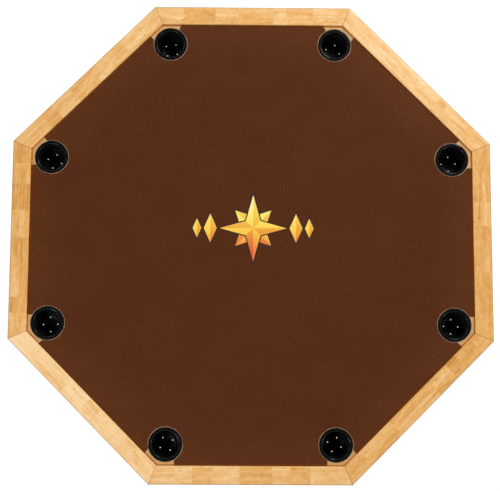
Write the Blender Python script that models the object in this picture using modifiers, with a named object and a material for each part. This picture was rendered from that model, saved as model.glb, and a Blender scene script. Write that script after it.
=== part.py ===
"""An octagonal game board that stands on a table: a cloth-covered deck in a mitred wooden frame,
with a lift-out cup holder at each corner. Metres, +Z up, the origin under the middle of the board.
"""

import bpy
import bmesh
from math import cos, copysign, pi, radians, sin, tan
from mathutils import Matrix, Vector

# Driving dimensions
SIDES = 8
ACROSS_FLATS = 1.321  # 52 inches, over the outer faces of the rails
HEIGHT = 0.076  # 3 inches, from the table to the top of the rails
FIT_GAP = 0.0003  # between pieces that touch

RAIL_WIDTH = 0.050
RAIL_THICKNESS = 0.020
LIP_WIDTH = 0.028  # the rail's inner part, which is rebated to lie on the deck
LIP_THICKNESS = 0.008
INNER_EASING = 0.0015  # the rounding of the rail's inner top edge
OUTER_EASING = 0.003  # and of both its outer edges

APRON_THICKNESS = 0.018
APRON_SETBACK = 0.004  # behind the rail's outer face
APRON_EASING = 0.0015

DECK_THICKNESS = 0.012
CLOTH_THICKNESS = 0.001

CUP_RING_RADIUS = 0.6002  # from the board's middle to each cup's axis
FLANGE_RADIUS = 0.0460
FLANGE_THICKNESS = 0.002
CUP_TOP_RADIUS = 0.0388  # outside of the wall, under the flange
CUP_BOTTOM_RADIUS = 0.0370
CUP_WALL = 0.0022
CUP_FLOOR = 0.0025
CUP_DEPTH = 0.0627  # from the flange's top to the inside of the floor
CUP_FILLET = 0.004  # between wall and floor
CUP_EDGE = 0.0007  # the chamfer on the flange's edges
CUP_TURNS = (1, 72, 54, 73, 2, 31, 70, 88)  # degrees: each cup is dropped in at its own angle
DRAIN_RING_RADIUS = 0.0197
DRAIN_RADIUS = 0.0014
DRAINS = 4

CUP_HOLE_CLEARANCE = 0.0007
CLOTH_RING = 0.0022  # bare wood left round each flange
CLOTH_CUT_OFFSET = 0.0235  # from the cup's axis to each straight cut, along the rail

CLEAT_SIDE = 0.018
CLEAT_END_GAP = 0.060  # from the corner to each end of a cleat, along the apron
BLOCK_LEG = 0.050
BLOCK_HEIGHT = 0.046
BATTEN_WIDTH = 0.045
BATTEN_HEIGHT = 0.030
BATTEN_SPACING = 0.302
PAD_RADIUS = 0.0075
PAD_THICKNESS = 0.003

# Worked out from them
STEP = 2 * pi / SIDES
HALF_STEP = STEP / 2
OUTER_APOTHEM = ACROSS_FLATS / 2
RAIL_INNER_APOTHEM = OUTER_APOTHEM - RAIL_WIDTH
REBATE_APOTHEM = RAIL_INNER_APOTHEM + LIP_WIDTH
APRON_OUTER_APOTHEM = OUTER_APOTHEM - APRON_SETBACK
APRON_INNER_APOTHEM = APRON_OUTER_APOTHEM - APRON_THICKNESS
DECK_APOTHEM = REBATE_APOTHEM - FIT_GAP
CLEAT_OUTER_APOTHEM = APRON_INNER_APOTHEM - FIT_GAP
CLEAT_INNER_APOTHEM = CLEAT_OUTER_APOTHEM - CLEAT_SIDE
RAIL_BOTTOM = HEIGHT - RAIL_THICKNESS
LIP_BOTTOM = HEIGHT - LIP_THICKNESS
APRON_TOP = RAIL_BOTTOM - FIT_GAP
APRON_BOTTOM = PAD_THICKNESS + FIT_GAP
DECK_TOP = LIP_BOTTOM - FIT_GAP
DECK_BOTTOM = DECK_TOP - DECK_THICKNESS
UNDER_DECK = DECK_BOTTOM - FIT_GAP
FLANGE_BOTTOM = DECK_TOP + FIT_GAP
FLANGE_TOP = FLANGE_BOTTOM + FLANGE_THICKNESS
CUP_INNER_FLOOR = FLANGE_TOP - CUP_DEPTH
CUP_OUTER_FLOOR = CUP_INNER_FLOOR - CUP_FLOOR
CUP_HOLE_RADIUS = CUP_TOP_RADIUS + CUP_HOLE_CLEARANCE

# Facets of the round shapes
EASING_STEPS = 3
CUP_SEGMENTS = 32
DRAIN_SEGMENTS = 12
PAD_SEGMENTS = 20
CLOTH_ARC_STEPS = 30


def clear_scene():
    """Removes whatever the scene holds."""
    for obj in list(bpy.data.objects):
        bpy.data.objects.remove(obj)


def collection(name, hidden=False):
    """A new collection in the scene, for the parts or for the cutters."""
    made = bpy.data.collections.new(name)
    bpy.context.scene.collection.children.link(made)
    made.hide_render = hidden
    return made


def material(name, colour, roughness, metallic=0.0):
    """A plain Principled material."""
    made = bpy.data.materials.new(name)
    made.use_nodes = True
    shader = made.node_tree.nodes["Principled BSDF"]
    shader.inputs["Base Color"].default_value = (*colour, 1)
    shader.inputs["Roughness"].default_value = roughness
    shader.inputs["Metallic"].default_value = metallic
    return made


def place(name, mesh, finish, group, turn=0.0):
    """A named object with its mesh, its material and its turn about Z."""
    obj = bpy.data.objects.new(name, mesh)
    if not mesh.materials:
        mesh.materials.append(finish)
    obj.rotation_euler.z = turn
    group.objects.link(obj)
    return obj


def evaluated_mesh(holder):
    """The mesh that an object's curve or modifiers make. The object goes."""
    bpy.context.scene.collection.objects.link(holder)
    graph = bpy.context.evaluated_depsgraph_get()
    mesh = bpy.data.meshes.new_from_object(holder.evaluated_get(graph))
    bpy.data.objects.remove(holder)
    return mesh


def plate(name, outlines, low, high):
    """A flat piece from z low to z high. The first outline is its edge, and any others are holes."""
    curve = bpy.data.curves.new(name, "CURVE")
    curve.dimensions = "2D"
    curve.fill_mode = "BOTH"
    curve.extrude = (high - low) / 2
    for outline in outlines:
        spline = curve.splines.new("POLY")
        spline.points.add(len(outline) - 1)
        for point, (x, y) in zip(spline.points, outline):
            point.co = (x, y, 0, 1)
        spline.use_cyclic_u = True
    mesh = evaluated_mesh(bpy.data.objects.new(name, curve))
    bpy.data.curves.remove(curve)
    shape = bmesh.new()
    shape.from_mesh(mesh)
    bmesh.ops.remove_doubles(shape, verts=shape.verts, dist=0.00001)
    bmesh.ops.translate(shape, verts=shape.verts, vec=(0, 0, (high + low) / 2))
    bmesh.ops.recalc_face_normals(shape, faces=shape.faces)
    shape.to_mesh(mesh)
    shape.free()
    mesh.name = name
    return mesh


def mitred_bar(name, section):
    """A bar along the side that faces +X, with this section in X and Z and a mitre at each end."""
    mesh = plate(name, [section], -1, 1)
    mesh.transform(Matrix.Rotation(pi / 2, 4, "X"))
    trim = FIT_GAP / 2 / cos(HALF_STEP)
    for vertex in mesh.vertices:
        vertex.co.y = copysign(vertex.co.x * tan(HALF_STEP) - trim, vertex.co.y)
    return mesh


def polar(radius, angle):
    """The vector of this length at this angle."""
    return Vector((radius * cos(angle), radius * sin(angle)))


def circle(radius, centre, segments):
    """A round outline."""
    return [centre + polar(radius, 2 * pi * i / segments) for i in range(segments)]


def octagon(apothem):
    """The outline of the board's shape at this distance from its middle, with flats across X and Y."""
    return [polar(apothem / cos(HALF_STEP), corner_angle(i)) for i in range(SIDES)]


def corner_angle(index):
    """The direction of a corner from the board's middle. Corner 0 is the first one anticlockwise from +X."""
    return HALF_STEP + STEP * index


def cup_centre(index):
    """Where a cup's axis meets the deck."""
    return polar(CUP_RING_RADIUS, corner_angle(index))


def eased(corners):
    """An outline through square corners, each given as x, y and the radius that rounds it."""
    points = []
    for i, (x, y, radius) in enumerate(corners):
        corner = Vector((x, y))
        if radius == 0:
            points.append(corner)
            continue
        to_last = (Vector(corners[i - 1][:2]) - corner).normalized() * radius
        to_next = (Vector(corners[(i + 1) % len(corners)][:2]) - corner).normalized() * radius
        middle = corner + to_last + to_next
        for step in range(EASING_STEPS + 1):
            angle = pi / 2 * step / EASING_STEPS
            points.append(middle - to_next * cos(angle) - to_last * sin(angle))
    return points


def around_the_sides(name, mesh, finish, group):
    """One object on each side of the board. They share their mesh, which faces +X."""
    for i in range(SIDES):
        place(f"{name}_{i + 1}", mesh, finish, group, turn=STEP * i)


def make_frame(rail_finish, hidden_finish, group):
    """The rebated rails on top, the aprons that stand under them, and the cleats that carry the deck."""
    rail_section = eased([
        (RAIL_INNER_APOTHEM, HEIGHT, INNER_EASING),
        (RAIL_INNER_APOTHEM, LIP_BOTTOM, 0),
        (REBATE_APOTHEM, LIP_BOTTOM, 0),
        (REBATE_APOTHEM, RAIL_BOTTOM, 0),
        (OUTER_APOTHEM, RAIL_BOTTOM, OUTER_EASING),
        (OUTER_APOTHEM, HEIGHT, OUTER_EASING),
    ])
    around_the_sides("rail", mitred_bar("rail", rail_section), rail_finish, group)

    apron_section = eased([
        (APRON_INNER_APOTHEM, APRON_TOP, 0),
        (APRON_INNER_APOTHEM, APRON_BOTTOM, 0),
        (APRON_OUTER_APOTHEM, APRON_BOTTOM, APRON_EASING),
        (APRON_OUTER_APOTHEM, APRON_TOP, 0),
    ])
    around_the_sides("apron", mitred_bar("apron", apron_section), rail_finish, group)

    half_length = APRON_INNER_APOTHEM * tan(HALF_STEP) - CLEAT_END_GAP
    cleat_outline = [
        (CLEAT_INNER_APOTHEM, -half_length),
        (CLEAT_OUTER_APOTHEM, -half_length),
        (CLEAT_OUTER_APOTHEM, half_length),
        (CLEAT_INNER_APOTHEM, half_length),
    ]
    cleat = plate("cleat", [cleat_outline], UNDER_DECK - CLEAT_SIDE, UNDER_DECK)
    around_the_sides("cleat", cleat, hidden_finish, group)


def make_corner_blocks(finish, group):
    """A glue block in each corner of the aprons, behind the cup, with its flat face inwards."""
    tip = CLEAT_OUTER_APOTHEM / cos(HALF_STEP)
    back = tip - BLOCK_LEG * sin(HALF_STEP)
    half_width = BLOCK_LEG * cos(HALF_STEP)
    outline = [(back, -half_width), (tip, 0), (back, half_width)]
    block = plate("corner_block", [outline], UNDER_DECK - BLOCK_HEIGHT, UNDER_DECK)
    for i in range(SIDES):
        place(f"corner_block_{i + 1}", block, finish, group, turn=corner_angle(i))


def make_battens(finish, group):
    """Three battens along X that keep the deck flat. They end at the cleats."""
    for i, y in enumerate((-BATTEN_SPACING, 0, BATTEN_SPACING)):
        far_edge = abs(y) + BATTEN_WIDTH / 2
        reach = min(CLEAT_INNER_APOTHEM, CLEAT_INNER_APOTHEM / cos(STEP) - far_edge) - FIT_GAP
        near = y - BATTEN_WIDTH / 2
        far = y + BATTEN_WIDTH / 2
        outline = [(-reach, near), (reach, near), (reach, far), (-reach, far)]
        batten = plate("batten", [outline], UNDER_DECK - BATTEN_HEIGHT, UNDER_DECK)
        place(f"batten_{i + 1}", batten, finish, group)


def make_deck(finish, group):
    """The plywood deck, with a round hole for each cup."""
    holes = [circle(CUP_HOLE_RADIUS, cup_centre(i), CUP_SEGMENTS) for i in range(SIDES)]
    deck = plate("deck_panel", [octagon(DECK_APOTHEM), *holes], DECK_BOTTOM, DECK_TOP)
    place("deck_panel", deck, finish, group)


def cloth_corner(index):
    """The cloth's edge at one corner: in from the first rail, round the cup, and out to the next rail."""
    ring = FLANGE_RADIUS + CLOTH_RING
    cut_to_ring = (ring**2 - CLOTH_CUT_OFFSET**2) ** 0.5
    cup_to_rail = RAIL_INNER_APOTHEM - FIT_GAP - CUP_RING_RADIUS * cos(HALF_STEP)
    cuts = []
    for side in (-1, 1):
        to_rail = polar(1, corner_angle(index) + side * HALF_STEP)
        off_corner = side * to_rail.orthogonal()
        start = cup_centre(index) + off_corner * CLOTH_CUT_OFFSET
        cuts.append([start + to_rail * cup_to_rail, start + to_rail * cut_to_ring])
    (first_at_rail, first_at_ring), (last_at_rail, last_at_ring) = cuts
    spoke = first_at_ring - cup_centre(index)
    shut = spoke.angle(last_at_ring - cup_centre(index))
    arc = [
        cup_centre(index) + Matrix.Rotation(-(2 * pi - shut) * i / CLOTH_ARC_STEPS, 2) @ spoke
        for i in range(1, CLOTH_ARC_STEPS)
    ]
    return [first_at_rail, first_at_ring, *arc, last_at_ring, last_at_rail]


def make_cloth(finish, group):
    """The playing cloth on the deck, from rail to rail, cut away round each cup and into its corner."""
    outline = [point for i in range(SIDES) for point in cloth_corner(i)]
    low = DECK_TOP + FIT_GAP
    cloth = plate("playing_cloth", [outline], low, low + CLOTH_THICKNESS)
    place("playing_cloth", cloth, finish, group)


def cup_profile():
    """The cup's section, from the middle of its inner floor, over the flange, to the middle below."""
    inner_top = CUP_TOP_RADIUS - CUP_WALL
    inner_bottom = CUP_BOTTOM_RADIUS - CUP_WALL
    bevel = 0.3 * CUP_FILLET
    return [
        (0, CUP_INNER_FLOOR),
        (inner_bottom - CUP_FILLET, CUP_INNER_FLOOR),
        (inner_bottom - bevel, CUP_INNER_FLOOR + bevel),
        (inner_bottom, CUP_INNER_FLOOR + CUP_FILLET),
        (inner_top, FLANGE_TOP - CUP_EDGE),
        (inner_top + CUP_EDGE, FLANGE_TOP),
        (FLANGE_RADIUS - CUP_EDGE, FLANGE_TOP),
        (FLANGE_RADIUS, FLANGE_TOP - CUP_EDGE),
        (FLANGE_RADIUS, FLANGE_BOTTOM),
        (CUP_TOP_RADIUS, FLANGE_BOTTOM),
        (CUP_BOTTOM_RADIUS, CUP_OUTER_FLOOR + CUP_FILLET),
        (CUP_BOTTOM_RADIUS - bevel, CUP_OUTER_FLOOR + bevel),
        (CUP_BOTTOM_RADIUS - CUP_FILLET, CUP_OUTER_FLOOR),
        (0, CUP_OUTER_FLOOR),
    ]


def drain_cutter(group):
    """The rods that cut the drain holes through a cup's floor."""
    shape = bmesh.new()
    for i in range(DRAINS):
        spot = polar(DRAIN_RING_RADIUS, 2 * pi * i / DRAINS)
        bmesh.ops.create_cone(
            shape,
            cap_ends=True,
            segments=DRAIN_SEGMENTS,
            radius1=DRAIN_RADIUS,
            radius2=DRAIN_RADIUS,
            depth=4 * CUP_FLOOR,
            matrix=Matrix.Translation((*spot, CUP_INNER_FLOOR - CUP_FLOOR / 2)),
        )
    mesh = bpy.data.meshes.new("drain_cutter")
    shape.to_mesh(mesh)
    shape.free()
    cutter = bpy.data.objects.new("drain_cutter", mesh)
    cutter.hide_render = True
    cutter.display_type = "WIRE"
    group.objects.link(cutter)
    return cutter


def cup_mesh(cutters):
    """One cup, turned from its section and drilled. Its flange's underside is at zero."""
    points = cup_profile()
    section = bpy.data.meshes.new("cup_section")
    section.from_pydata([(x, 0, z) for x, z in points], [(i, i + 1) for i in range(len(points) - 1)], [])
    holder = bpy.data.objects.new("cup_section", section)
    turned = holder.modifiers.new("turned", "SCREW")
    turned.steps = CUP_SEGMENTS
    turned.render_steps = CUP_SEGMENTS
    turned.use_merge_vertices = True
    turned.merge_threshold = 0.0001
    drilled = holder.modifiers.new("drilled", "BOOLEAN")
    drilled.operation = "DIFFERENCE"
    drilled.object = drain_cutter(cutters)
    mesh = evaluated_mesh(holder)
    mesh.name = "cup_holder"
    mesh.materials.clear()
    mesh.transform(Matrix.Translation((0, 0, -FLANGE_BOTTOM)))
    mesh.shade_smooth()
    mesh.set_sharp_from_angle(angle=radians(35))
    return mesh


def make_cups(finish, group, cutters):
    """A cup at each corner. Each hangs from an empty on its axis, at its flange's underside."""
    mesh = cup_mesh(cutters)
    for i, turn in enumerate(CUP_TURNS):
        seat = bpy.data.objects.new(f"cup_seat_{i + 1}", None)
        seat.location = (*cup_centre(i), FLANGE_BOTTOM)
        group.objects.link(seat)
        cup = place(f"cup_holder_{i + 1}", mesh, finish, group, turn=radians(turn))
        cup.parent = seat


def make_pads(finish, group):
    """A round pad under the middle of each apron."""
    middle = Vector((APRON_OUTER_APOTHEM - APRON_THICKNESS / 2, 0))
    pad = plate("foot_pad", [circle(PAD_RADIUS, middle, PAD_SEGMENTS)], 0, PAD_THICKNESS)
    around_the_sides("foot_pad", pad, finish, group)


def main():
    """Builds the whole board."""
    clear_scene()
    parts = collection("octagonal_game_board")
    cutters = collection("cutters", hidden=True)
    maple = material("maple", (0.80, 0.50, 0.22), 0.45)
    birch = material("birch_plywood", (0.74, 0.55, 0.34), 0.60)
    pine = material("pine", (0.76, 0.56, 0.33), 0.65)
    cloth = material("cloth", (0.098, 0.034, 0.015), 0.95)
    plastic = material("black_plastic", (0.012, 0.012, 0.013), 0.25)
    rubber = material("rubber", (0.03, 0.03, 0.03), 0.85)

    make_frame(maple, pine, parts)
    make_corner_blocks(pine, parts)
    make_battens(pine, parts)
    make_deck(birch, parts)
    make_cloth(cloth, parts)
    make_cups(plastic, parts, cutters)
    make_pads(rubber, parts)


main()
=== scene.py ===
"""The looks of an octagonal game board: varnished wood, playing cloth, moulded cup holders and a
printed star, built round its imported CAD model. Metres, +Z up, in the model's own frame.
"""

from math import cos, pi, radians, sin, tan
from random import Random

import bmesh
import bpy
from mathutils import Matrix, Vector, noise


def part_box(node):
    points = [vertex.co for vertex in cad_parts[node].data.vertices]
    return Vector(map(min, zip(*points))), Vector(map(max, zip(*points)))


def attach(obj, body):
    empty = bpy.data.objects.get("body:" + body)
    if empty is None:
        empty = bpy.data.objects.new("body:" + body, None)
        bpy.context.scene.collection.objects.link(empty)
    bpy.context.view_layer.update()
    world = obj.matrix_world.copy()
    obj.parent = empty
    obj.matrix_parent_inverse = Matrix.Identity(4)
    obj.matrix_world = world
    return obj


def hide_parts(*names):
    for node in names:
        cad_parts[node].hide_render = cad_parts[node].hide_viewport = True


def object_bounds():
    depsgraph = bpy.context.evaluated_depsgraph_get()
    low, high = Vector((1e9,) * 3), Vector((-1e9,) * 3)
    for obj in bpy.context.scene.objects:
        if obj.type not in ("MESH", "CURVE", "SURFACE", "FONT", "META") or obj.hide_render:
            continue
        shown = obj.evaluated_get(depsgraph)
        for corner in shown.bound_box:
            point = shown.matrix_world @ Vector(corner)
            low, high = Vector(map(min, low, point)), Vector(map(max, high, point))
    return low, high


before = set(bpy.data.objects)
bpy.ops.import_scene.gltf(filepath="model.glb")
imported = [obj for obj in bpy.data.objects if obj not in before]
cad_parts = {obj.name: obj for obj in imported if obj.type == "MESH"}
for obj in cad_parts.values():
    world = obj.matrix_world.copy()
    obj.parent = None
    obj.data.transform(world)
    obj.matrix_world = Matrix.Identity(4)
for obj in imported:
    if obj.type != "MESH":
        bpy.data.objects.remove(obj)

SIDES = 8
STEP = 2 * pi / SIDES
HALF_STEP = STEP / 2

# Places, read from the frame
CAD_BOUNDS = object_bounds()
RAIL_LOW, RAIL_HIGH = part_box("rail_1")
CLEAT_LOW, CLEAT_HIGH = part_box("cleat_1")
CLOTH_LOW, CLOTH_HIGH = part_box("playing_cloth")
DECK_LOW, DECK_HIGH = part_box("deck_panel")
CUP_LOW, CUP_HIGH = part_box("cup_holder_1")
PAD_LOW, PAD_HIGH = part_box("foot_pad_1")
FIT_GAP = 0.0003  # between pieces that touch
CUT_PAST = 0.01  # how far a cutter reaches past what it cuts

# Rails: where each one's staves meet, in metres from its middle, and how pale each stave is
STAVES = (
    ((-0.083, -0.040, 0.043, 0.110), (-0.30, -0.20, -0.10, -0.05, -0.50)),
    ((-0.114, -0.087, -0.010, 0.160), (0.60, 0.40, 0.95, 1.05, 1.05)),
    ((-0.170, -0.097, -0.057, 0.040, 0.105, 0.192), (0.30, 0.05, 0.60, 0.0, 0.40, -0.20, 0.20)),
    ((-0.130, -0.017, 0.063, 0.130, 0.170), (0.40, 0.25, -0.30, 0.45, -0.40, 0.15)),
    ((-0.210, -0.153, -0.080, -0.003, 0.050, 0.160, 0.203), (-0.25, 0.0, -1.1, -0.2, -0.6, -0.1, -0.35, 0.0)),
    ((-0.070, 0.000, 0.043, 0.143, 0.197), (1.50, 1.80, 1.05, 1.25, 0.90, 1.35)),
    ((-0.203, -0.157, -0.103, -0.030, 0.057, 0.107, 0.160), (0.4, 0.95, -0.1, 0.55, -0.1, 0.5, -0.35, 0.85)),
    ((-0.197, -0.083, 0.067, 0.133, 0.170, 0.230), (-0.05, -0.15, -0.1, -0.05, -0.85, -0.45, -0.05)),
)
BRADS = (
    (-0.190, -0.063, 0.065, 0.202),
    (-0.190, -0.073, 0.083, 0.201),
    (-0.206, -0.087, 0.060, 0.195),
    (-0.195, -0.075, 0.072, 0.199),
    (-0.188, -0.045, 0.082, 0.197),
    (-0.190, -0.047, 0.079, 0.187),
    (-0.191, -0.077, 0.068, 0.195),
    (-0.187, -0.079, 0.088, 0.200),
)
RAIL_EASING = 0.003
MITRE_STAIN_WIDTH = 0.0014
BRAD_FROM_EDGE = 0.0130
BRAD_RADIUS = 0.0014
BRAD_DEPTH = 0.0005
FILLER_SINK = 0.00025  # from the rail's top to the filler's
FILLER_DEPTH = 0.0004
FILLER_RADIUS = BRAD_RADIUS - 0.0001

# Screws under the deck
CLEAT_SCREWS = (-0.15, 0, 0.15)  # along each cleat, from its middle
BATTEN_SCREWS = (-0.9, -0.45, 0, 0.45, 0.9)  # along each batten, as shares of half its length
SCREW_SINK = 0.0002
COUNTERSINK_RADIUS = 0.0038
COUNTERSINK_DEPTH = 0.0024

# Deck and cloth
TWO_PLIES = 0.0048
CUP_RING = 0.6002
FLANGE_RADIUS = 0.0460
CLOTH_RING = 0.0018
CUTS = (  # for each cup, how far its two straight cuts are from its axis, at the rail and at the ring
    ((0.0235, 0.0235), (0.0235, 0.0230)),
    ((0.0235, 0.0240), (0.0330, 0.0235)),
    ((0.0290, 0.0240), (0.0245, 0.0250)),
    ((0.0245, 0.0230), (0.0230, 0.0205)),
    ((0.0235, 0.0230), (0.0235, 0.0240)),
    ((0.0235, 0.0235), (0.0245, 0.0235)),
    ((0.0250, 0.0230), (0.0235, 0.0235)),
    ((0.0280, 0.0280), (0.0235, 0.0230)),
)
CLOTH_CORNER = 0.004  # the rounding where a straight cut meets the ring
GLUE_DEPTH = 0.0002  # of the glue under the cloth
CLOTH_ARC_STEPS = 72
SCISSOR_WANDER = 0.0004
WANDERS_PER_METRE = 45

# Cup holders
CUP_TURNS = (1, 72, 54, 73, 2, 31, 70, 88)  # degrees: each cup is dropped in at its own angle
CUP_STEPS = 96
CUP_HOLE_CLEARANCE = 0.0007
CUP_WALL = 0.0022
CUP_TOP_RADIUS = 0.0388
CUP_BOTTOM_RADIUS = 0.0370
CUP_FLOOR = 0.0025
FLANGE_ROLL = 0.0026  # the rounding of the flange into the well
DRAIN_RING = 0.0197
DRAIN_RADIUS = 0.0014
DRAINS = 4

# The printed star and its lozenges
PRINT_CENTRE = (0.004, 0.034)
PRINT_LIFT = 0.00015
STAR_RADIUS = 0.092
STARS = (  # each one's tip and notch radii, the direction of its first ray and whether it lies in front
    (0.76 * STAR_RADIUS, 0.36 * STAR_RADIUS, pi / 4, False),
    (STAR_RADIUS, 0.31 * STAR_RADIUS, 0, True),
)
LOZENGES = ((0.1180, 0.0180, 0.0400), (0.1545, 0.0120, 0.0270))  # distance out, half width, half height
OUTLINE_WIDTH = 0.0030

# Camera and lights
CAMERA_PLACE = (-0.0394, -0.4589, 3.4173)
CAMERA_TURN = (7.5645, -0.6346, 0.2825)  # degrees
CAMERA_LENS = 88.58  # millimetres, and the sensor too
SENSOR = 36.0
LIGHTS = (  # each one's name, place, power in watts and width
    ("key", (1.25, 2.1, 2.5), 58, 1.0),
    ("left_fill", (-1.6, -1.4, 2.2), 28, 0.8),
    ("right_fill", (2.2, -1.3, 2.2), 21, 0.8),
    ("back_fill", (-1.7, 1.6, 2.2), 8, 0.8),
)
LIGHTS_AIM = Vector((0, 0, 0.07))
FLOOR_RADIUS = 30
FLOOR_GLOW = 0.93
WALL_GREY = 0.27
CEILING_GREY = 0.03


def srgb(red, green, blue):
    """A display colour, 0 to 255, as the linear colour that a shader takes."""
    def linear(channel):
        share = channel / 255
        return share / 12.92 if share <= 0.04045 else ((share + 0.055) / 1.055) ** 2.4
    return (linear(red), linear(green), linear(blue), 1.0)


# ---------------------------------------------------------------- shader building


def add(tree, kind, inputs=None, **settings):
    """Adds a node. Each input is a socket to link or a value to set."""
    node = tree.nodes.new(kind)
    for key, value in settings.items():
        setattr(node, key, value)
    for key, value in (inputs or {}).items():
        if isinstance(value, bpy.types.NodeSocket):
            tree.links.new(value, node.inputs[key])
        else:
            node.inputs[key].default_value = value
    return node


def new_material(name, **values):
    """A material, its node tree and its Principled shader, with these constant values set on the shader."""
    made = bpy.data.materials.new(name)
    made.use_nodes = True
    shader = made.node_tree.nodes["Principled BSDF"]
    for key, value in values.items():
        shader.inputs[key.replace("_", " ").title().replace("Ior", "IOR")].default_value = value
    return made, made.node_tree, shader


def math_node(tree, operation, *values):
    """One step of arithmetic on sockets or numbers."""
    return add(tree, "ShaderNodeMath", dict(enumerate(values)), operation=operation).outputs[0]


def scaled(tree, vector, scale):
    """A vector times another, channel by channel."""
    return add(tree, "ShaderNodeVectorMath", {0: vector, 1: scale}, operation="MULTIPLY").outputs[0]


def noise_at(tree, vector, detail=2.0, roughness=0.5, distortion=0.0):
    """Fractal noise, 0 to 1, at a vector whose unit is one blob."""
    inputs = {"Vector": vector, "Scale": 1.0, "Detail": detail, "Roughness": roughness}
    inputs["Distortion"] = distortion
    return add(tree, "ShaderNodeTexNoise", inputs).outputs["Fac"]


def sum_of(tree, start, *weighted):
    """start plus each (socket, weight) pair, where a socket's 0.5 counts as nothing."""
    total = start
    for socket, weight in weighted:
        centred = math_node(tree, "SUBTRACT", socket, 0.5)
        total = math_node(tree, "MULTIPLY_ADD", centred, weight, total)
    return total


def step_between(tree, value, low, high):
    """0 below low, 1 above high, and smooth between."""
    inputs = {"Value": value, "From Min": low, "From Max": high}
    return add(tree, "ShaderNodeMapRange", inputs, interpolation_type="SMOOTHSTEP").outputs["Result"]


def ramp(tree, value, *stops):
    """A colour from (place, colour) stops."""
    node = add(tree, "ShaderNodeValToRGB", {"Fac": value})
    elements = node.color_ramp.elements
    while len(elements) < len(stops):
        elements.new(0.5)
    for element, (place, colour) in zip(elements, stops):
        element.position = place
        element.color = colour
    return node.outputs["Color"]


def mixed(tree, share, first, second, blend="MIX"):
    """Two colours mixed by a share from 0 to 1."""
    node = add(tree, "ShaderNodeMix", data_type="RGBA", blend_type=blend)
    for index, value in ((0, share), (6, first), (7, second)):
        if isinstance(value, bpy.types.NodeSocket):
            tree.links.new(value, node.inputs[index])
        else:
            node.inputs[index].default_value = value
    return node.outputs[2]


def bump(tree, shader, height, distance):
    """Gives the shader a bump of this height in metres."""
    inputs = {"Height": height, "Distance": distance, "Strength": 1.0}
    tree.links.new(add(tree, "ShaderNodeBump", inputs).outputs["Normal"], shader.inputs["Normal"])


def attribute(tree, name):
    """A number that the mesh carries."""
    return add(tree, "ShaderNodeAttribute", attribute_name=name).outputs["Fac"]


def board_apothem(tree, place):
    """How far towards the rails a place is: the size of the octagon that it lies on."""
    axes = add(tree, "ShaderNodeSeparateXYZ", {0: place}).outputs
    across = math_node(tree, "ABSOLUTE", axes["X"])
    up = math_node(tree, "ABSOLUTE", axes["Y"])
    slanted = math_node(tree, "MULTIPLY", math_node(tree, "ADD", across, up), 0.5**0.5)
    return math_node(tree, "MAXIMUM", slanted, math_node(tree, "MAXIMUM", across, up))


# ---------------------------------------------------------------- materials


def stave_place(tree, place):
    """A place moved by its stave's number, so that each stave has its own stretch of grain."""
    stave = attribute(tree, "stave")
    jumps = {axis: math_node(tree, "MULTIPLY", stave, jump) for axis, jump in enumerate((1.7, 9.1, 3.3))}
    jump = add(tree, "ShaderNodeCombineXYZ", jumps).outputs[0]
    return add(tree, "ShaderNodeVectorMath", {0: place, 1: jump}, operation="ADD").outputs[0]


def grain_noise(tree, place, grain, across, along, *settings):
    """Noise drawn out along the grain's axis, with this many blobs a metre across it and along it."""
    stretch = [along if axis == grain else across for axis in "XYZ"]
    return noise_at(tree, scaled(tree, place, stretch), *settings)


def wood(name, stops, grain, contrast=1.0, **values):
    """Wood with its grain along one of the piece's own axes."""
    made, tree, shader = new_material(name, **values)
    place = add(tree, "ShaderNodeTexCoord").outputs["Object"]
    moved = stave_place(tree, place)
    figure = grain_noise(tree, moved, grain, 40, 7, 3, 0.6, 0.25)
    rings = grain_noise(tree, moved, grain, 130, 5, 3, 0.6, 0.6)
    blotch = grain_noise(tree, moved, grain, 110, 60, 3, 0.65)
    fibre = grain_noise(tree, moved, grain, 800, 24, 3, 0.6)
    streaks = step_between(tree, grain_noise(tree, moved, grain, 170, 7, 2, 0.5, 0.4), 0.60, 0.76)
    flecks = step_between(tree, grain_noise(tree, moved, grain, 1400, 70, 2, 0.5), 0.62, 0.78)
    value = sum_of(
        tree,
        math_node(tree, "MULTIPLY_ADD", attribute(tree, "tone"), 0.17, 0.5),
        (figure, 0.62 * contrast),
        (rings, 0.50 * contrast),
        (blotch, 0.40 * contrast),
        (fibre, 0.30 * contrast),
    )
    value = math_node(tree, "MULTIPLY_ADD", streaks, -0.14 * contrast, value)
    value = math_node(tree, "MULTIPLY_ADD", flecks, -0.10 * contrast, value)
    colour = ramp(tree, value, *stops)
    hue = step_between(tree, grain_noise(tree, moved, grain, 60, 14, 2, 0.5), 0.45, 0.75)
    colour = mixed(tree, math_node(tree, "MULTIPLY", hue, 0.35), colour, (1.0, 0.93, 0.84, 1.0), "MULTIPLY")
    colour = mixed(tree, mitre_stain(tree, place), colour, srgb(140, 86, 38))
    # painted shade on the rails' rounded outer edges
    colour = mixed(tree, edge_painted_shade(tree, place), colour, srgb(78, 70, 58))
    tree.links.new(colour, shader.inputs["Base Color"])
    relief = sum_of(tree, 0.5, (fibre, 0.5), (rings, 0.3))
    bump(tree, shader, math_node(tree, "MULTIPLY_ADD", flecks, -0.5, relief), 0.00006)
    return made


def mitre_stain(tree, place):
    """How much the finish has darkened by a piece's mitres, where the mesh has mitred set to 1."""
    axes = add(tree, "ShaderNodeSeparateXYZ", {0: place}).outputs
    half_length = math_node(tree, "MULTIPLY", axes["X"], tan(HALF_STEP))
    beside = math_node(tree, "SUBTRACT", half_length, math_node(tree, "ABSOLUTE", axes["Y"]))
    patches = noise_at(tree, scaled(tree, place, (220, 220, 220)), 2, 0.6)
    wandered_beside = sum_of(tree, beside, (patches, MITRE_STAIN_WIDTH))
    near = step_between(tree, wandered_beside, MITRE_STAIN_WIDTH, 0.0003)
    return math_node(tree, "MULTIPLY", near, math_node(tree, "MULTIPLY", attribute(tree, "mitred"), 0.45))


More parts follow.
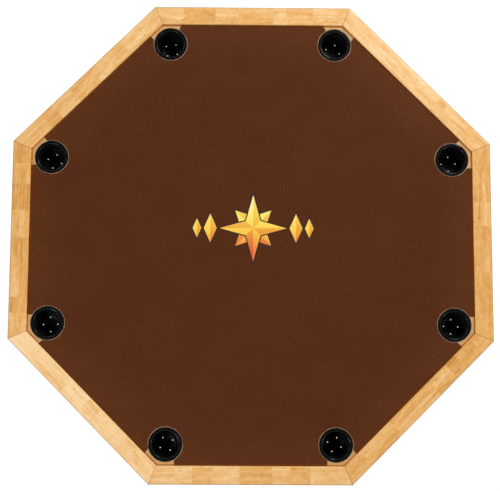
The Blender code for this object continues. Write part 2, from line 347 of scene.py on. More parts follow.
def edge_painted_shade(tree, place):
    """How much painted shade greys the rails' rounded outer edges."""
    axes = add(tree, "ShaderNodeSeparateXYZ", {0: place}).outputs
    outward = step_between(tree, axes["X"], RAIL_HIGH.x - RAIL_EASING, RAIL_HIGH.x - RAIL_EASING / 3)
    upward = step_between(tree, axes["Z"], RAIL_HIGH.z - 0.0050, RAIL_HIGH.z - 0.0032)
    return math_node(tree, "MULTIPLY", math_node(tree, "MULTIPLY", outward, upward), 0.58)


def maple():
    """Clear-varnished, honey-coloured maple."""
    stops = (
        (0.00, srgb(178, 108, 44)),
        (0.25, srgb(211, 146, 66)),
        (0.50, srgb(234, 178, 104)),
        (0.75, srgb(249, 208, 151)),
        (1.00, srgb(253, 222, 174)),
    )
    return wood(
        "varnished_maple", stops, "Y",
        roughness=0.48, specular_ior_level=0.35, coat_weight=0.08, coat_roughness=0.15,
    )


def pine(name, grain):
    """Bare planed softwood."""
    stops = (
        (0.00, srgb(176, 122, 66)),
        (0.40, srgb(212, 166, 108)),
        (0.70, srgb(228, 190, 136)),
        (1.00, srgb(238, 206, 158)),
    )
    return wood(name, stops, grain, contrast=0.8, roughness=0.62)


def deck_top_painted_shade(tree, place, height, veneer):
    """The veneer's colour, with painted shade round the cups and a browner painted shade beside the rails, on
    its top only.
    """
    apothem = board_apothem(tree, place)
    on_top = step_between(tree, height, DECK_HIGH.z - 0.0008, DECK_HIGH.z - 0.0002)
    inner = step_between(tree, apothem, RAIL_LOW.x - 0.0060, RAIL_LOW.x - 0.0140)
    outer = step_between(tree, apothem, RAIL_LOW.x - 0.0065, RAIL_LOW.x - 0.0010)
    # painted shade on the bare deck round the cups
    cup_shade = math_node(tree, "MULTIPLY", math_node(tree, "MULTIPLY", inner, on_top), 0.8)
    colour = mixed(tree, cup_shade, veneer, srgb(184, 156, 122))
    # painted shade, browner, in the band beside the rails
    return mixed(tree, math_node(tree, "MULTIPLY", outer, on_top), colour, srgb(186, 118, 52))


def plywood():
    """Bare birch plywood, with figured veneer on its faces and its plies along the edges."""
    made, tree, shader = new_material("birch_plywood", roughness=0.58)
    place = add(tree, "ShaderNodeTexCoord").outputs["Object"]
    height = add(tree, "ShaderNodeSeparateXYZ", {0: place}).outputs["Z"]
    figure = noise_at(tree, scaled(tree, place, (3, 26, 26)), 3, 0.55, 0.9)
    fibre = noise_at(tree, scaled(tree, place, (24, 900, 900)), 2, 0.6)
    bands = math_node(tree, "SINE", math_node(tree, "MULTIPLY", figure, 60))
    value = sum_of(tree, 0.5, (figure, 0.45), (fibre, 0.22))
    value = math_node(tree, "MULTIPLY_ADD", bands, 0.09, value)
    stops = ((0.1, srgb(190, 138, 74)), (0.5, srgb(212, 162, 98)), (0.9, srgb(226, 186, 126)))
    # the deck's top gets painted shade by the cups and by the rails
    face = deck_top_painted_shade(tree, place, height, ramp(tree, value, *stops))
    ply = math_node(tree, "FRACT", math_node(tree, "DIVIDE", height, TWO_PLIES))
    edge = mixed(tree, step_between(tree, ply, 0.45, 0.55), srgb(214, 172, 120), srgb(150, 98, 54))
    normal = add(tree, "ShaderNodeNewGeometry").outputs["Normal"]
    upright = math_node(tree, "ABSOLUTE", add(tree, "ShaderNodeSeparateXYZ", {0: normal}).outputs["Z"])
    colour = mixed(tree, step_between(tree, upright, 0.4, 0.6), edge, face)
    tree.links.new(colour, shader.inputs["Base Color"])
    bump(tree, shader, fibre, 0.00005)
    return made


def cloth_material():
    """Brown short-pile playing cloth, lighter and whiter towards the rails as a painted sheen, with a painted
    shadow right beside them.
    """
    made, tree, shader = new_material(
        "brown_playing_cloth",
        roughness=0.65, specular_ior_level=0.10, sheen_weight=0.01, sheen_roughness=0.5,
    )
    place = add(tree, "ShaderNodeTexCoord").outputs["Object"]
    nap = noise_at(tree, scaled(tree, place, (9, 14, 9)), 3, 0.6)
    flock = noise_at(tree, scaled(tree, place, (230, 230, 230)), 3, 0.7)
    pile = noise_at(tree, scaled(tree, place, (1700, 1700, 1700)), 2, 0.7)
    value = sum_of(tree, 0.5, (nap, 0.20), (flock, 0.90), (pile, 0.70))
    colour = ramp(tree, value, (0.1, srgb(63, 22, 0)), (0.5, srgb(82, 40, 12)), (0.9, srgb(102, 60, 33)))
    apothem = board_apothem(tree, place)
    # painted sheen: the cloth is made lighter and whiter towards the rails
    rim_sheen = step_between(tree, apothem, RAIL_LOW.x - 0.13, RAIL_LOW.x)
    colour = mixed(tree, rim_sheen, colour, (1.2, 1.24, 1.3, 1), "MULTIPLY")
    # painted shadow of the rails on the cloth next to them
    rail_shadow = step_between(tree, apothem, RAIL_LOW.x - 0.0065, RAIL_LOW.x - 0.0020)
    colour = mixed(tree, rail_shadow, colour, srgb(110, 56, 3))
    tree.links.new(colour, shader.inputs["Base Color"])
    bump(tree, shader, sum_of(tree, 0.5, (pile, 0.8), (flock, 0.3)), 0.00010)
    return made


def black_plastic():
    """Moulded black plastic, polished on the flange and less glossy below it; the well's deep inside is
    painted paler, as painted light.
    """
    made, tree, shader = new_material("moulded_black_plastic", specular_ior_level=0.05, coat_roughness=0.10)
    place = add(tree, "ShaderNodeTexCoord").outputs["Object"]
    haze = noise_at(tree, scaled(tree, place, (90, 90, 60)), 3, 0.6)
    grit = noise_at(tree, scaled(tree, place, (1400, 1400, 1400)), 1, 0.5)
    height = add(tree, "ShaderNodeSeparateXYZ", {0: place}).outputs["Z"]
    rim = step_between(tree, height, -0.0060, -0.0015)
    # painted light: the deep inside of the well gets a paler black than the part near the rim
    deep_painted_light = ramp(tree, haze, (0.3, srgb(24, 24, 24)), (0.7, srgb(30, 30, 30)))
    polished = ramp(tree, haze, (0.3, srgb(11, 11, 11)), (0.7, srgb(17, 17, 17)))
    shallow = step_between(tree, height, -0.025, -0.006)
    tree.links.new(mixed(tree, shallow, deep_painted_light, polished), shader.inputs["Base Color"])
    tree.links.new(math_node(tree, "MULTIPLY", rim, 0.45), shader.inputs["Coat Weight"])
    tree.links.new(sum_of(tree, 0.36, (haze, 0.10), (grit, 0.06)), shader.inputs["Roughness"])
    bump(tree, shader, grit, 0.00001)
    return made


def rubber():
    """Matt black rubber."""
    made, tree, shader = new_material("black_rubber", roughness=0.85)
    place = add(tree, "ShaderNodeTexCoord").outputs["Object"]
    grit = noise_at(tree, scaled(tree, place, (900, 900, 900)), 2, 0.6)
    colour = ramp(tree, grit, (0.2, srgb(22, 22, 22)), (0.8, srgb(48, 47, 46)))
    tree.links.new(colour, shader.inputs["Base Color"])
    bump(tree, shader, grit, 0.0001)
    return made


def zinc():
    """The screws' zinc-plated steel."""
    made, tree, shader = new_material("zinc_plate", metallic=1.0)
    place = add(tree, "ShaderNodeTexCoord").outputs["Object"]
    bloom = noise_at(tree, scaled(tree, place, (500, 500, 500)), 3, 0.6)
    colour = ramp(tree, bloom, (0.3, srgb(150, 152, 152)), (0.7, srgb(196, 197, 194)))
    tree.links.new(colour, shader.inputs["Base Color"])
    tree.links.new(sum_of(tree, 0.35, (bloom, 0.2)), shader.inputs["Roughness"])
    return made


def putty():
    """The filler in the brad holes."""
    made, tree, shader = new_material("brown_filler", roughness=0.6)
    place = add(tree, "ShaderNodeTexCoord").outputs["Object"]
    grit = noise_at(tree, scaled(tree, place, (1600, 1600, 1600)), 2, 0.6)
    colour = ramp(tree, grit, (0.2, srgb(140, 90, 36)), (0.8, srgb(172, 120, 58)))
    tree.links.new(colour, shader.inputs["Base Color"])
    bump(tree, shader, grit, 0.0001)
    return made


def star_ink():
    """Golden printing ink, deeper orange towards the bottom and on each ray's shaded half."""
    made, tree, shader = new_material("golden_ink", roughness=0.7)
    place = add(tree, "ShaderNodeTexCoord").outputs["Object"]
    height = add(tree, "ShaderNodeSeparateXYZ", {0: place}).outputs["Y"]
    share = step_between(tree, height, -STAR_RADIUS, STAR_RADIUS)
    lit = ramp(
        tree, share,
        (0.05, srgb(240, 120, 50)), (0.45, srgb(252, 206, 66)), (0.80, srgb(253, 232, 110)),
        (1.00, srgb(254, 244, 184)),
    )
    shaded = ramp(
        tree, share,
        (0.05, srgb(214, 84, 36)), (0.45, srgb(240, 162, 44)), (0.80, srgb(247, 204, 72)),
        (1.00, srgb(250, 218, 102)),
    )
    colour = mixed(tree, attribute(tree, "shaded"), lit, shaded)
    pile = noise_at(tree, scaled(tree, place, (1500, 1500, 1500)), 2, 0.7)
    worn = step_between(tree, pile, 0.62, 0.86)
    colour = mixed(tree, math_node(tree, "MULTIPLY", worn, 0.5), colour, srgb(150, 90, 40))
    tree.links.new(colour, shader.inputs["Base Color"])
    bump(tree, shader, pile, 0.0001)
    return made


def dark_ink():
    """The near-black ink round the golden shapes."""
    made, tree, shader = new_material("dark_ink", roughness=0.75)
    place = add(tree, "ShaderNodeTexCoord").outputs["Object"]
    pile = noise_at(tree, scaled(tree, place, (1500, 1500, 1500)), 2, 0.7)
    colour = ramp(tree, pile, (0.3, srgb(12, 8, 6)), (0.9, srgb(44, 26, 16)))
    tree.links.new(colour, shader.inputs["Base Color"])
    bump(tree, shader, pile, 0.0001)
    return made


# ---------------------------------------------------------------- shape building


def polar(radius, angle):
    """The vector of this length at this angle."""
    return Vector((radius * cos(angle), radius * sin(angle)))


def side_angle(index):
    """The direction that a side faces. Side 0 faces +X."""
    return STEP * index


def corner_angle(index):
    """The direction of a corner. Corner 0 is the first one anticlockwise from +X."""
    return HALF_STEP + STEP * index


def place_piece(name, mesh, finish, body, turn=0.0, at=(0, 0, 0), replaced=()):
    """Puts a finished mesh in the scene as a piece of the object."""
    piece = bpy.data.objects.new(name, mesh)
    mesh.materials.clear()
    mesh.materials.append(finish)
    piece.location = at
    piece.rotation_euler.z = turn
    bpy.context.scene.collection.objects.link(piece)
    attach(piece, body)
    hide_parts(*replaced)
    return piece


def smooth(mesh, angle=35):
    """Shades a mesh smooth, with edges sharper than this angle left sharp."""
    mesh.shade_smooth()
    mesh.set_sharp_from_angle(angle=radians(angle))


def add_bevel(piece, width):
    """Eases a piece's sharp edges."""
    bevel = piece.modifiers.new("eased_edges", "BEVEL")
    bevel.width = width
    bevel.segments = 2
    bevel.limit_method = "ANGLE"
    bevel.angle_limit = radians(40)
    bevel.harden_normals = True


def cad_shape(node, turn):
    """A clean bmesh of a CAD node, turned back to face +X."""
    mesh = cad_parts[node].data.copy()
    mesh.transform(Matrix.Rotation(-turn, 4, "Z"))
    shape = bmesh.new()
    shape.from_mesh(mesh)
    bpy.data.meshes.remove(mesh)
    bmesh.ops.remove_doubles(shape, verts=shape.verts, dist=0.00001)
    bmesh.ops.dissolve_limit(shape, angle_limit=radians(0.5), verts=shape.verts, edges=shape.edges)
    return shape


def as_mesh(shape, name):
    """The mesh of a bmesh, which is freed."""
    mesh = bpy.data.meshes.new(name)
    shape.to_mesh(mesh)
    shape.free()
    return mesh


def evaluated(mesh, *modifiers):
    """A mesh after these (type, settings) modifiers."""
    holder = bpy.data.objects.new("holder", mesh)
    bpy.context.scene.collection.objects.link(holder)
    for kind, settings in modifiers:
        modifier = holder.modifiers.new(kind.lower(), kind)
        for key, value in settings.items():
            setattr(modifier, key, value)
    graph = bpy.context.evaluated_depsgraph_get()
    made = bpy.data.meshes.new_from_object(holder.evaluated_get(graph))
    bpy.data.objects.remove(holder)
    return made


def cutter(mesh):
    """A hidden object that holds a cutting mesh."""
    made = bpy.data.objects.new("cutter", mesh)
    bpy.context.scene.collection.objects.link(made)
    return made


def rods(places, radius, low, high, segments=24):
    """One mesh of upright rods at these places."""
    shape = bmesh.new()
    for x, y in places:
        bmesh.ops.create_cone(
            shape, cap_ends=True, segments=segments, radius1=radius, radius2=radius, depth=high - low,
            matrix=Matrix.Translation((x, y, (low + high) / 2)),
        )
    return as_mesh(shape, "rods")


def drilled(mesh, places, radius, low, high, segments=24):
    """A mesh with round holes from z low to z high."""
    drill = cutter(rods(places, radius, low, high, segments))
    made = evaluated(mesh, ("BOOLEAN", {"operation": "DIFFERENCE", "object": drill}))
    bpy.data.objects.remove(drill)
    return made


def write_face_numbers(mesh, **columns):
    """Stores numbers on a mesh's faces for its material to read."""
    for name, values in columns.items():
        mesh.attributes.new(name, "FLOAT", "FACE").data.foreach_set("value", values)


def turned(profile, steps):
    """A closed mesh turned about Z from (radius, z) points that run from the axis, out and back to it."""
    mesh = bpy.data.meshes.new("profile")
    mesh.from_pydata([(r, 0, z) for r, z in profile], [(i, i + 1) for i in range(len(profile) - 1)], [])
    screw = {"steps": steps, "render_steps": steps, "use_merge_vertices": True, "merge_threshold": 0.00001}
    shape = bmesh.new()
    shape.from_mesh(evaluated(mesh, ("SCREW", screw)))
    bmesh.ops.recalc_face_normals(shape, faces=shape.faces)
    return as_mesh(shape, "turned")


def arc(centre, radius, start, end, steps):
    """Points on an arc in a profile, from one angle in degrees to another."""
    angles = [radians(start + (end - start) * i / steps) for i in range(steps + 1)]
    return [(centre[0] + radius * cos(a), centre[1] + radius * sin(a)) for a in angles]


# ---------------------------------------------------------------- wooden frame and deck


def brad_spots(index):
    """Where a rail's brads go."""
    across = RAIL_LOW.x + BRAD_FROM_EDGE
    random = Random(index)
    return [(across + random.uniform(-0.001, 0.001), along) for along in BRADS[index]]


def rail_mesh(index, spots):
    """A rail cut into staves, with a hole for each brad."""
    mesh = as_mesh(cad_shape(f"rail_{index + 1}", side_angle(index)), "rail")
    mesh = drilled(mesh, spots, BRAD_RADIUS, RAIL_HIGH.z - BRAD_DEPTH, RAIL_HIGH.z + CUT_PAST)
    joints, tones = STAVES[index]
    shape = bmesh.new()
    shape.from_mesh(mesh)
    for joint in joints:
        everything = list(shape.verts) + list(shape.edges) + list(shape.faces)
        bmesh.ops.bisect_plane(shape, geom=everything, plane_co=(0, joint, 0), plane_no=(0, 1, 0))
    random = Random(300 + index)
    grain = [random.random() + index for _ in tones]
    staves = [sum(face.calc_center_median().y > joint for joint in joints) for face in shape.faces]
    mesh = as_mesh(shape, f"rail_board_{index + 1}")
    write_face_numbers(
        mesh,
        stave=[grain[stave] for stave in staves],
        tone=[tones[stave] for stave in staves],
        mitred=[1] * len(staves),
    )
    smooth(mesh)
    return mesh


def make_rails(finish, filler):
    """The eight rails and the filler in their brad holes."""
    for index in range(SIDES):
        turn = side_angle(index)
        spots = brad_spots(index)
        rail = place_piece(f"rail_board_{index + 1}", rail_mesh(index, spots), finish, "board",
                           turn, replaced=[f"rail_{index + 1}"])
        add_bevel(rail, 0.0004)
        filler_top = RAIL_HIGH.z - FILLER_SINK
        plugs = rods(spots, FILLER_RADIUS, filler_top - FILLER_DEPTH, filler_top)
        smooth(plugs)
        place_piece(f"brad_filler_{index + 1}", plugs, filler, "board", turn)


def screw_head_mesh():
    """A countersunk screw head with a cross recess, facing down at z 0."""
    profile = [(0, 0.0002), (0.0030, 0), (0.0036, 0.0002), (0.0020, 0.0020), (0, 0.0020)]
    head = turned(profile, 24)
    slot = Matrix.Diagonal((0.0042, 0.0009, 0.0022, 1))
    shape = bmesh.new()
    for turn in (0, pi / 2):
        made = bmesh.ops.create_cube(shape, matrix=Matrix.Rotation(turn, 4, "Z") @ slot)
        for vertex in made["verts"]:
            if vertex.co.z > 0:
                vertex.co.x *= 0.35
                vertex.co.y *= 0.35
    recess = cutter(as_mesh(shape, "recess"))
    made = evaluated(head, ("BOOLEAN", {"operation": "DIFFERENCE", "object": recess, "use_self": True}))
    bpy.data.objects.remove(recess)
    return made


def screws(name, places, low, turn, finish):
    """One mesh of screw heads that sit just inside a face that looks down at z low."""
    head = screw_head_mesh()
    shape = bmesh.new()
    random = Random(name)
    for x, y in places:
        mesh = head.copy()
        driven = Matrix.Rotation(random.uniform(0, pi), 4, "Z")
        mesh.transform(Matrix.Translation((x, y, low + SCREW_SINK)) @ driven)
        shape.from_mesh(mesh)
        bpy.data.meshes.remove(mesh)
    mesh = as_mesh(shape, name)
    smooth(mesh)
    place_piece(name, mesh, finish, "board", turn)


def board_mesh(node, turn, seed, tone=0.0, mitred=0, holes=()):
    """A board's mesh from its CAD node, with its own stretch of grain and a countersink for each screw."""
    mesh = as_mesh(cad_shape(node, turn), node)
    low = min(vertex.co.z for vertex in mesh.vertices)
    if holes:
        mesh = drilled(mesh, holes, COUNTERSINK_RADIUS, low - CUT_PAST, low + COUNTERSINK_DEPTH)
    count = len(mesh.polygons)
    write_face_numbers(mesh, stave=[seed] * count, tone=[tone] * count, mitred=[mitred] * count)
    smooth(mesh)
    return mesh


def make_aprons(finish):
    """The eight boards that stand under the rails."""
    for index in range(SIDES):
        turn = side_angle(index)
        random = Random(40 + index)
        mesh = board_mesh(f"apron_{index + 1}", turn, random.random() * 5, random.uniform(-0.3, 0.5), 1)
        piece = place_piece(f"apron_board_{index + 1}", mesh, finish, "board", turn,
                            replaced=[f"apron_{index + 1}"])
        add_bevel(piece, 0.0006)


def make_support(node, name, turn, seed, finish, easing, holes=()):
    """A softwood piece under the deck."""
    mesh = board_mesh(node, turn, seed, seed / 5 - 0.5, holes=holes)
    piece = place_piece(name, mesh, finish, "board", turn, replaced=[node])
    add_bevel(piece, easing)


def make_cleats(finish, metal):
    """The strips inside the aprons, with their screws."""
    middle = (CLEAT_LOW.x + CLEAT_HIGH.x) / 2
    spots = [(middle, y) for y in CLEAT_SCREWS]
    for index in range(SIDES):
        turn = side_angle(index)
        seed = Random(60 + index).random() * 5
        make_support(f"cleat_{index + 1}", f"cleat_strip_{index + 1}", turn, seed, finish, 0.0006, spots)
        screws(f"cleat_screws_{index + 1}", spots, CLEAT_LOW.z, turn, metal)


def make_blocks(finish):
    """The glue blocks in the aprons' corners."""
    for index in range(SIDES):
        seed = Random(80 + index).random() * 5
        turn = corner_angle(index)
        make_support(f"corner_block_{index + 1}", f"glue_block_{index + 1}", turn, seed, finish, 0.0008)


def make_battens(finish, metal):
    """The battens across the deck's underside, with their screws."""
    for index in range(3):
        seed = Random(90 + index).random() * 5
        low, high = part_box(f"batten_{index + 1}")
        middle = (low.y + high.y) / 2
        spots = [(middle, -high.x * share) for share in BATTEN_SCREWS]
        make_support(f"batten_{index + 1}", f"batten_board_{index + 1}", pi / 2, seed, finish, 0.0008, spots)
        screws(f"batten_screws_{index + 1}", spots, low.z, pi / 2, metal)


def make_pads(finish):
    """A moulded rubber pad under the middle of each apron, with a recess below for its nail."""
    middle = (PAD_LOW.x + PAD_HIGH.x) / 2
    radius = (PAD_HIGH.x - PAD_LOW.x) / 2
    top = PAD_HIGH.z
    profile = [
        (0, 0.0009),
        (0.0022, 0.0009),
        *arc((0.0034, 0.0008), 0.0008, 180, 270, 4),
        *arc((radius - 0.0010, 0.0010), 0.0010, -90, 0, 5),
        *arc((radius - 0.0007, top - 0.0006), 0.0006, 0, 90, 4),
        (0, top),
    ]
    mesh = turned(profile, 48)
    smooth(mesh)
    for index in range(SIDES):
        turn = side_angle(index)
        place_piece(f"rubber_pad_{index + 1}", mesh, finish, "board", turn,
                    polar(middle, turn).to_3d(), [f"foot_pad_{index + 1}"])


def make_deck(finish):
    """The plywood deck, with round holes for the cups."""
    corners = [polar(DECK_HIGH.x / cos(HALF_STEP), corner_angle(i)) for i in range(SIDES)]
    mesh = slab("deck", corners, DECK_LOW.z, DECK_HIGH.z)
    spots = [cup_centre(i) for i in range(SIDES)]
    radius = CUP_TOP_RADIUS + CUP_HOLE_CLEARANCE
    mesh = drilled(mesh, spots, radius, DECK_LOW.z - CUT_PAST, DECK_HIGH.z + CUT_PAST, CUP_STEPS)
    smooth(mesh)
    piece = place_piece("plywood_deck", mesh, finish, "board", replaced=["deck_panel"])
    add_bevel(piece, 0.0004)


# ---------------------------------------------------------------- cloth and print


def cup_centre(index):
    """Where a cup's axis meets the deck."""
    return polar(CUP_RING, corner_angle(index))


def rounded(before, corner, after, radius, steps=6):
    """Points that round a corner between two neighbours."""
    first = corner + (before - corner).normalized() * radius
    last = corner + (after - corner).normalized() * radius
    points = []
    for i in range(steps + 1):
        t = i / steps
        points.append(first * (1 - t) ** 2 + corner * 2 * t * (1 - t) + last * t**2)
    return points


def cloth_corner(index):
    """The cloth's edge at one corner: in from the first rail, round the cup and out to the next rail."""
    ring = FLANGE_RADIUS + CLOTH_RING
    centre = cup_centre(index)
    cup_to_rail = CLOTH_HIGH.x - CUP_RING * cos(HALF_STEP)
    cuts = []
    for side, (at_rail, at_ring) in zip((-1, 1), CUTS[index]):
        to_rail = polar(1, corner_angle(index) + side * HALF_STEP)
        along_rail = side * to_rail.orthogonal()
        rail_point = centre + along_rail * at_rail + to_rail * cup_to_rail
        ring_point = centre + along_rail * at_ring + to_rail * (ring**2 - at_ring**2) ** 0.5
        cuts.append([rail_point, ring_point])
    (first_at_rail, first_at_ring), (last_at_rail, last_at_ring) = cuts
    spoke = first_at_ring - centre
    sweep = -(2 * pi - spoke.angle(last_at_ring - centre))
    ring_points = [
        centre + Matrix.Rotation(sweep * i / CLOTH_ARC_STEPS, 2) @ spoke for i in range(1, CLOTH_ARC_STEPS)
    ]
    lead = rounded(first_at_rail, first_at_ring, ring_points[1], CLOTH_CORNER)
    tail = rounded(ring_points[-2], last_at_ring, last_at_rail, CLOTH_CORNER)
    ends = (first_at_ring, last_at_ring)
    middle = [p for p in ring_points if min((p - end).length for end in ends) > CLOTH_CORNER]
    return [first_at_rail, *lead, *middle, *tail, last_at_rail]


def wandered(point, at_rail):
    """A cut edge's point, off by what scissors wander. What runs along a rail stays straight."""
    if at_rail:
        return point
    spots = [Vector((point.x, point.y, layer)) * WANDERS_PER_METRE for layer in (0.01, 0.31)]
    return point + Vector([noise.noise(spot) for spot in spots]) * SCISSOR_WANDER


def cloth_outline():
    """The cloth's whole edge, clockwise round each cup and anticlockwise round the board."""
    points = []
    for index in range(SIDES):
        corner = cloth_corner(index)
        for i, point in enumerate(corner):
            points.append(wandered(point, i in (0, len(corner) - 1)))
    return points


def area_of(outline):
    """The area inside an outline."""
    pairs = zip(outline, outline[1:] + outline[:1])
    return abs(sum(a.x * b.y - b.x * a.y for a, b in pairs)) / 2


def slab(name, outline, low, high):
    """A flat closed mesh with this outline, from z low to z high."""
    count = len(outline)
    ahead = [*range(1, count), 0]
    corners = [(point[0], point[1], z) for z in (low, high) for point in outline]
    sides = [(i, ahead[i], ahead[i] + count, i + count) for i in range(count)]
    mesh = bpy.data.meshes.new(name)
    mesh.from_pydata(corners, [], [range(count), range(count, 2 * count), *sides])
    shape = bmesh.new()
    shape.from_mesh(mesh)
    bpy.data.meshes.remove(mesh)
    bmesh.ops.recalc_face_normals(shape, faces=shape.faces)
    return as_mesh(shape, name)


def make_cloth(finish):
    """The playing cloth, glued flat to the deck."""
    outline = cloth_outline()
    mesh = slab("brown_cloth", outline, CLOTH_LOW.z - GLUE_DEPTH, CLOTH_HIGH.z)
    smooth(mesh)
    piece = place_piece("brown_cloth", mesh, finish, "board", replaced=["playing_cloth"])
    add_bevel(piece, 0.0003)
    area_of(outline)


def grown(points, width):
    """A shape's outline, moved outwards by a width, with its sharp tips cut short."""
    made = []
    count = len(points)
    for i, point in enumerate(points):
        before = (point - points[i - 1]).normalized()
        after = (points[(i + 1) % count] - point).normalized()
        out_before = Vector((before.y, -before.x))
        out_after = Vector((after.y, -after.x))
        bisector = out_before + out_after
        turn = before.x * after.y - before.y * after.x
        if turn > 0 and bisector.length < 1.2:
            made.append(point + out_before * width + before * width)
            made.append(point + out_after * width - after * width)
            continue
        bisector.normalize()
        made.append(point + bisector * width / max(0.3, bisector.dot(out_before)))
    return made


def star_shapes(tip, notch, start, front):
    """One star's golden facets, as (outline, shade, front), and its dark shape, as (outline, front)."""
    facets = []
    edge = []
    middle = Vector((0, 0))
    for i in range(4):
        angle = start + i * pi / 2
        point = polar(tip, angle)
        before = polar(notch, angle - pi / 4)
        after = polar(notch, angle + pi / 4)
        facets.append(([middle, before, point], 1.0, front))
        facets.append(([middle, point, after], 0.0, front))
        edge += [before, point]
    return facets, (grown(edge, OUTLINE_WIDTH), front)


def lozenge_shapes(x, half_width, half_height):
    """A lozenge's two golden facets and its dark shape, in the same form."""
    right = Vector((x + half_width, 0))
    top = Vector((x, half_height))
    left = Vector((x - half_width, 0))
    bottom = Vector((x, -half_height))
    facets = [([top, left, bottom], 0.0, False), ([bottom, right, top], 1.0, False)]
    return facets, (grown([right, top, left, bottom], OUTLINE_WIDTH), False)


def print_shapes():
    """Every golden facet of the print and every dark shape under them."""
    shapes = [star_shapes(*star) for star in STARS]
    for side in (-1, 1):
        shapes += [lozenge_shapes(side * x, wide, tall) for x, wide, tall in LOZENGES]
    facets = [facet for golden, _ in shapes for facet in golden]
    return facets, [dark for _, dark in shapes]


def thin_shapes(name, shapes):
    """One mesh of thin closed shapes, each given as its outline, its lowest and highest z and a number."""
    whole = bmesh.new()
    shades = []
    for outline, low, high, shade in shapes:
        mesh = slab(name, outline, low, high)
        whole.from_mesh(mesh)
        shades += [shade] * len(mesh.polygons)
        bpy.data.meshes.remove(mesh)
    mesh = as_mesh(whole, name)
    write_face_numbers(mesh, shaded=shades)
    return mesh


def make_print(ink, outline_ink):
    """The printed star and lozenges in the middle of the cloth. Each layer of ink lies over the last."""
    facets, dark = print_shapes()
    place = (*PRINT_CENTRE, CLOTH_HIGH.z)
    lift = PRINT_LIFT
    shapes = [(outline, -lift, lift * (3 if front else 1), 0) for outline, front in dark]
    place_piece("star_outline", thin_shapes("dark_print", shapes), outline_ink, "board", at=place)
    shapes = [(outline, 0, lift * (4 if front else 2), shade) for outline, shade, front in facets]
    place_piece("star_facets", thin_shapes("golden_print", shapes), ink, "board", at=place)


# ---------------------------------------------------------------- cups


def cup_profile():
    """The cup's section, from the middle of its inner floor, over the flange, to the middle below.
    Heights are above the flange's underside.
    """
    flange_top = CUP_HIGH.z - DECK_HIGH.z - FIT_GAP
    bottom = CUP_LOW.z - DECK_HIGH.z - FIT_GAP
    floor = bottom + CUP_FLOOR
    wall_in = CUP_TOP_RADIUS - CUP_WALL
    foot_in = CUP_BOTTOM_RADIUS - CUP_WALL
    roll = FLANGE_ROLL
    return [
        (0, floor + 0.0003),
        (0.0050, floor + 0.0003),
        (0.0056, floor),
        (0.0250, floor),
        (0.0256, floor + 0.0004),
        (0.0268, floor + 0.0004),
        (0.0274, floor),
        *arc((foot_in - 0.004, floor + 0.004), 0.004, -90, -2, 8),
        (wall_in - 0.0003, flange_top - roll - 0.012),
        *arc((wall_in + roll, flange_top - roll), roll, 180, 90, 8),
        (wall_in + 0.0030, flange_top),
        (FLANGE_RADIUS - 0.0022, flange_top),
        *arc((FLANGE_RADIUS - 0.0011, flange_top - 0.0011), 0.0011, 75, 0, 6),
        (FLANGE_RADIUS, 0.0004),
        (FLANGE_RADIUS - 0.0004, 0),
        (CUP_TOP_RADIUS + 0.0006, 0),
        (CUP_TOP_RADIUS, -0.0006),
        *arc((CUP_BOTTOM_RADIUS - 0.004, bottom + 0.004), 0.004, -2, -90, 8),
        (0.0300, bottom),
        (0.0292, bottom + 0.0006),
        (0, bottom + 0.0006),
    ]


def cup_mesh():
    """One cup, turned and drilled."""
    mesh = turned(cup_profile(), CUP_STEPS)
    spots = [polar(DRAIN_RING, i * 2 * pi / DRAINS) for i in range(DRAINS)]
    bottom = CUP_LOW.z - DECK_HIGH.z
    mesh = drilled(mesh, spots, DRAIN_RADIUS, bottom - CUT_PAST, bottom + CUT_PAST)
    smooth(mesh, 40)
    return mesh


def make_cups(finish):
    """A cup at each corner, each dropped in at its own angle."""
    mesh = cup_mesh()
    for index, turn in enumerate(CUP_TURNS):
        x, y = cup_centre(index)
        place_piece(
            f"moulded_cup_{index + 1}", mesh, finish, f"cup_{index + 1}",
            radians(turn), (x, y, DECK_HIGH.z + FIT_GAP), [f"cup_holder_{index + 1}"],
        )


# ---------------------------------------------------------------- stage


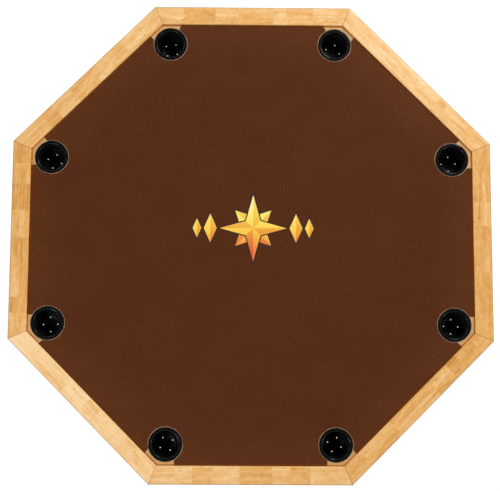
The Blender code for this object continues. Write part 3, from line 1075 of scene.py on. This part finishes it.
def make_floor():
    """A pale floor that glows a little, as a white studio sweep does."""
    shape = bmesh.new()
    bmesh.ops.create_circle(shape, cap_ends=True, segments=96, radius=FLOOR_RADIUS)
    floor = bpy.data.objects.new("floor", as_mesh(shape, "floor"))
    floor.location.z = CAD_BOUNDS[0].z
    made, _, _ = new_material(
        "white_floor",
        base_color=(0.2, 0.2, 0.2, 1), roughness=0.8, specular_ior_level=0,
        emission_color=(1, 1, 1, 1), emission_strength=FLOOR_GLOW,
    )
    floor.data.materials.append(made)
    bpy.context.scene.collection.objects.link(floor)


def make_light(name, place, power, size):
    """A square soft light that looks at the middle of the board."""
    data = bpy.data.lights.new(name, "AREA")
    data.energy = power
    data.size = size
    light = bpy.data.objects.new(name, data)
    light.location = place
    light.rotation_euler = (LIGHTS_AIM - Vector(place)).to_track_quat("-Z", "Y").to_euler()
    light.visible_camera = False
    bpy.context.scene.collection.objects.link(light)


def make_world():
    """A white horizon, pale walls above it and a dark ceiling."""
    world = bpy.data.worlds.new("studio")
    world.use_nodes = True
    tree = world.node_tree
    direction = add(tree, "ShaderNodeTexCoord").outputs["Generated"]
    height = add(tree, "ShaderNodeSeparateXYZ", {0: direction}).outputs["Z"]
    walls = step_between(tree, height, 0.25, 0.45)
    ceiling = step_between(tree, height, 0.70, 0.90)
    colour = mixed(tree, walls, (1, 1, 1, 1), (WALL_GREY, WALL_GREY, WALL_GREY, 1))
    colour = mixed(tree, ceiling, colour, (CEILING_GREY, CEILING_GREY, CEILING_GREY, 1))
    tree.links.new(colour, tree.nodes["Background"].inputs["Color"])
    return world


def make_stage():
    """The floor, the lights, the pale surroundings and the camera."""
    scene = bpy.context.scene
    make_floor()
    for light in LIGHTS:
        make_light(*light)
    scene.world = make_world()
    data = bpy.data.cameras.new("camera")
    data.lens = CAMERA_LENS
    data.sensor_width = SENSOR
    data.clip_start = 0.05
    camera = bpy.data.objects.new("camera", data)
    camera.location = CAMERA_PLACE
    camera.rotation_euler = [radians(angle) for angle in CAMERA_TURN]
    scene.collection.objects.link(camera)
    scene.camera = camera
    scene.view_settings.view_transform = "Standard"


def main():
    """Builds every piece and the stage."""
    honey = maple()
    make_rails(honey, putty())
    make_aprons(honey)
    planed = pine("planed_pine", "Y")
    steel = zinc()
    make_cleats(planed, steel)
    make_blocks(pine("upright_pine", "Z"))
    make_battens(planed, steel)
    make_pads(rubber())
    make_deck(plywood())
    make_cloth(cloth_material())
    make_print(star_ink(), dark_ink())
    make_cups(black_plastic())
    make_stage()


main()
